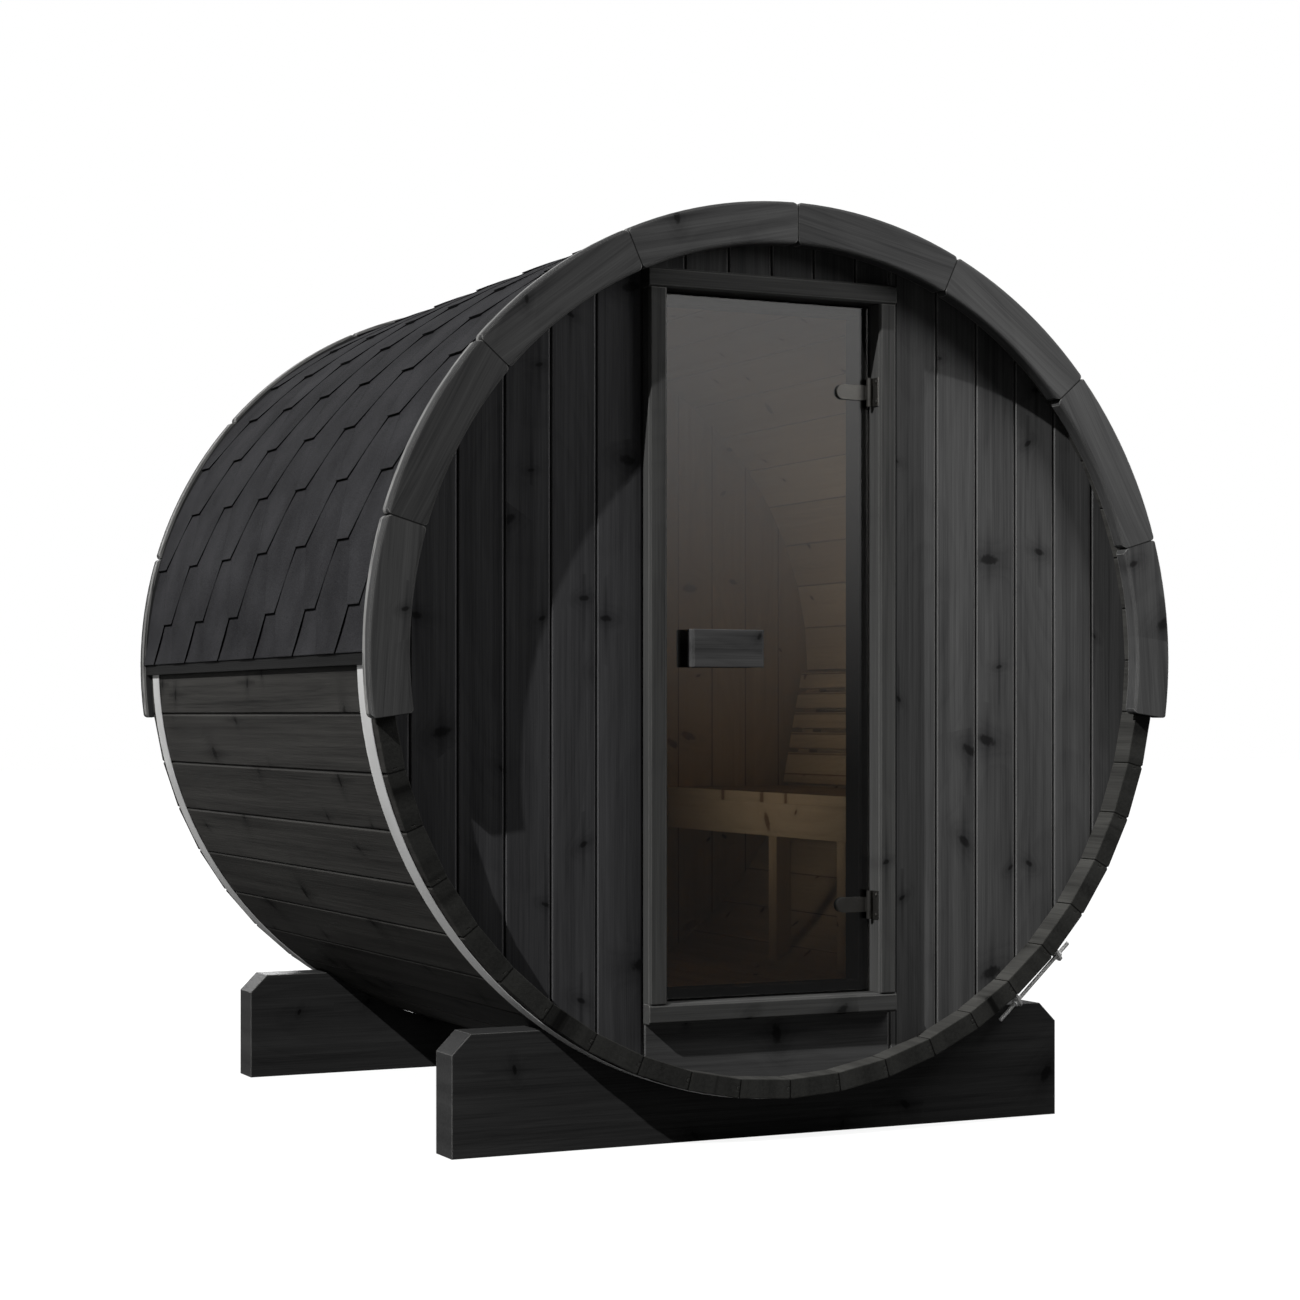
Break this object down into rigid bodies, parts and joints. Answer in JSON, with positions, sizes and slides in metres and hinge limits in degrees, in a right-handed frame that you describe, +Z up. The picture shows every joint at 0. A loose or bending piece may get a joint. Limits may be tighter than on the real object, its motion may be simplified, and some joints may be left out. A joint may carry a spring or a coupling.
{
  "type": "barrel sauna",
  "caption": "Outdoor barrel sauna of dark stained staves on two saddle cradles, with steel hoops, a shingled upper half, a hinged glass door and a bench inside.",
  "frame": {"origin": "on the ground, under the middle of the barrel", "axes": "+Z up, +Y from the front to the back along the barrel, +X to the right seen from the front"},
  "size_m": [2.06, 1.8496, 2.1379],
  "materials": {
    "stained_wood": "satin",
    "bare_wood": "matte",
    "hoop_steel": "brushed",
    "hinge_black": "satin",
    "shingle": "matte",
    "tinted_glass": "polished"
  },
  "bodies": {
    "sauna": {"cradle_front": "stained_wood", "cradle_rear": "stained_wood", "staves_upper_right": "stained_wood", "staves_crown": "stained_wood", "staves_upper_left": "stained_wood", "staves_lower_left": "stained_wood", "staves_bottom": "stained_wood", "staves_lower_right": "stained_wood", "front_wall_left": "stained_wood", "front_wall_right": "stained_wood", "front_wall_over_door": "stained_wood", "front_wall_under_door": "stained_wood", "back_wall": "stained_wood", "door_jamb_left": "stained_wood", "door_jamb_right": "stained_wood", "door_head": "stained_wood", "door_sill": "stained_wood", "door_stops": "stained_wood", "eaves_batten_left": "stained_wood", "eaves_batten_right": "stained_wood", "front_trim_left": "stained_wood", "front_trim_right": "stained_wood", "rear_trim_left": "stained_wood", "rear_trim_right": "stained_wood", "floor_boards": "bare_wood", "floor_bearers": "bare_wood", "bench_seat": "bare_wood", "bench_front_board": "bare_wood", "bench_bearers": "bare_wood", "bench_posts": "bare_wood", "backrest_slats": "bare_wood", "backrest_uprights": "bare_wood", "hoop_front": "hoop_steel", "hoop_rear": "hoop_steel", "hoop_bolt_front": "hoop_steel", "hoop_bolt_rear": "hoop_steel", "hinge_jamb_plates": "hinge_black", "roof_cover_left": "shingle", "roof_cover_right": "shingle", "ridge_strip": "shingle"},
    "door": {"door_glass": "tinted_glass", "door_handle": "stained_wood", "hinge_leaves": "hinge_black"}
  },
  "joints": [
    {"name": "door_swing", "type": "hinge", "parent": "sauna", "child": "door", "pos_m": [0.2415, -0.8285, 1.12916], "axis": [0, 0, 1], "range_deg": [0, 100]}
  ]
}
